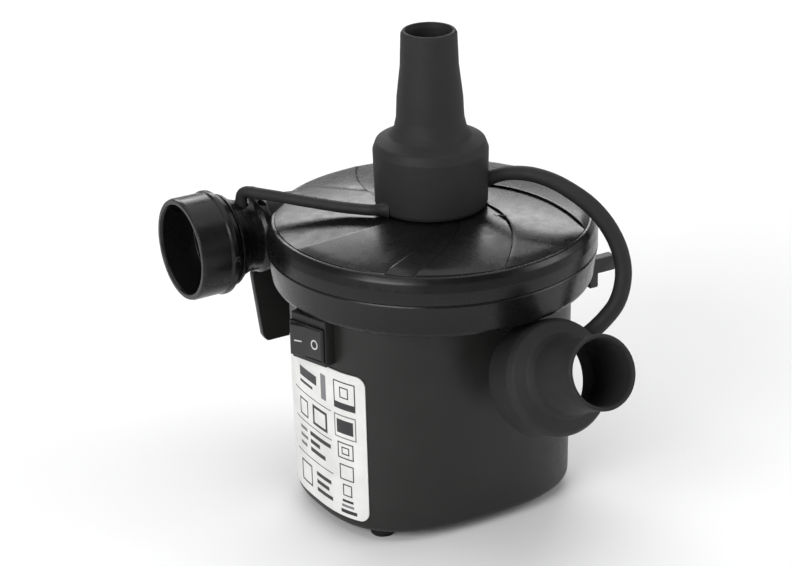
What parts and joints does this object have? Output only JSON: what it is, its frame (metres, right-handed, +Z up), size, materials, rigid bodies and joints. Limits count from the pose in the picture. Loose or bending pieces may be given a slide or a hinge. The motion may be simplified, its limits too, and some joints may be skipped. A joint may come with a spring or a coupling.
{
  "type": "electric air mattress pump",
  "caption": "Mains blower for air beds: oblong motor housing under a round fan drum, tangential side outlet, soft push-on nozzles on moulded straps, rocker switch.",
  "frame": {"origin": "on the surface that the feet stand on, under the middle of the pump and its two nozzles, straps left out", "axes": "+Z up along the fan's axis, -X the way the side outlet blows, -Y the broad front that the short nozzle leans on"},
  "size_m": [0.1422, 0.1466, 0.1658],
  "materials": {
    "drum_black": "semi-gloss black ABS",
    "housing_black": "satin dark grey ABS, fine grain",
    "switch_grey": "satin grey nylon with pale I and O marks",
    "soft_pvc": "soft dark grey PVC, matt",
    "black_rubber": "matt rubber",
    "label_film": "printed film, off-white with plain dark marks",
    "white_nylon": "natural moulded nylon",
    "steel": "zinc-plated steel",
    "lamination_steel": "stacked electrical steel sheets",
    "copper": "enamelled copper wire",
    "brass": "stamped brass and sintered bronze",
    "carbon": "pressed carbon",
    "capacitor_yellow": "moulded yellow case",
    "wire_brown": "brown wire insulation",
    "wire_blue": "blue wire insulation"
  },
  "bodies": {
    "root": {"motor_housing": "housing_black", "foot_1": "black_rubber", "foot_2": "black_rubber", "foot_3": "black_rubber", "foot_4": "black_rubber", "rating_label": "label_film", "cord_gland": "black_rubber", "cord_bracket": "housing_black", "cord_hook": "housing_black", "fan_housing": "drum_black", "top_cover": "drum_black", "outlet_collar": "drum_black", "cover_screw_1": "steel", "cover_screw_2": "steel", "cover_screw_3": "steel", "cover_screw_4": "steel", "housing_screw_1": "steel", "housing_screw_2": "steel", "housing_screw_3": "steel", "housing_screw_4": "steel", "switch_bezel": "switch_grey", "switch_body": "white_nylon", "switch_terminal_1": "brass", "switch_terminal_2": "brass", "strap_anchor": "soft_pvc", "strap_left": "soft_pvc", "strap_right": "soft_pvc", "field_core": "lamination_steel", "field_coil_rear": "copper", "field_coil_front": "copper", "bearing_bracket_lower": "steel", "bearing_bracket_upper": "steel", "bearing_lower": "brass", "bearing_upper": "brass", "motor_mount_bush": "black_rubber", "motor_stud_right": "steel", "motor_stud_left": "steel", "brush_holder_right": "brass", "brush_holder_left": "brass", "brush_spring_right": "steel", "brush_spring_left": "steel", "suppression_capacitor": "capacitor_yellow", "lead_live": "wire_brown", "lead_switched": "wire_brown", "lead_neutral": "wire_blue"},
    "rotor": {"motor_shaft": "steel", "armature_core": "lamination_steel", "commutator": "copper", "armature_winding_lower": "copper", "armature_winding_upper": "copper", "impeller": "white_nylon", "impeller_nut": "steel"},
    "rocker": {"switch_rocker": "switch_grey"},
    "tall_nozzle": {"nozzle_tall": "soft_pvc"},
    "short_nozzle": {"nozzle_short": "soft_pvc"},
    "right_brush": {"brush_right": "carbon"},
    "left_brush": {"brush_left": "carbon"}
  },
  "joints": [
    {"name": "fan_spin", "type": "hinge", "parent": "root", "child": "rotor", "pos_m": [0.00405, 0.01633, 0.05], "axis": [0, 0, 1], "continuous": true},
    {"name": "rocker_switch", "type": "hinge", "parent": "root", "child": "rocker", "pos_m": [-0.04795, 0.00824, 0.0707], "axis": [0, 0, 1], "range_deg": [-18, 0]},
    {"name": "tall_nozzle_lift", "type": "slide", "parent": "root", "child": "tall_nozzle", "axis": [0, 0, 1], "range_m": [0, 0.02], "deforming": ["strap_left", "strap_right"]},
    {"name": "short_nozzle_swing", "type": "hinge", "parent": "root", "child": "short_nozzle", "pos_m": [0.03315, -0.03357, 0.0681], "axis": [0, 0, 1], "range_deg": [0, 40]},
    {"name": "right_brush_feed", "type": "slide", "parent": "root", "child": "right_brush", "axis": [1, 0, 0], "range_m": [0, 0.002], "stiffness_N_per_m": 150, "springref_m": -0.002, "deforming": ["brush_spring_right"]},
    {"name": "left_brush_feed", "type": "slide", "parent": "root", "child": "left_brush", "axis": [-1, 0, 0], "range_m": [0, 0.002], "stiffness_N_per_m": 150, "springref_m": -0.002, "deforming": ["brush_spring_left"]}
  ]
}
